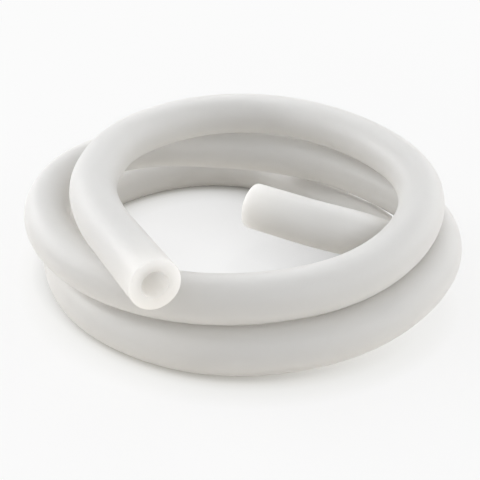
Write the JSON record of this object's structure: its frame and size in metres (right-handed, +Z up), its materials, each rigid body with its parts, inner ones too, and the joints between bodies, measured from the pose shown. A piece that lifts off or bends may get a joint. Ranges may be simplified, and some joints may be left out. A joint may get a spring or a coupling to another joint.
{
  "type": "silicone tubing coil",
  "caption": "Loose coil of soft milky silicone tubing with an open bore, one end stopping inside the coil and the other leading out at the front.",
  "frame": {"origin": "centre of the bounding box, at the level of the bench it lies on", "axes": "+Z up from the bench, -Y towards the side where the outer end leads out, +X to the right as seen from that side"},
  "size_m": [0.1556, 0.1756, 0.0506],
  "materials": {
    "silicone": "satin"
  },
  "bodies": {
    "root": {"silicone_tube": "silicone"}
  },
  "joints": []
}
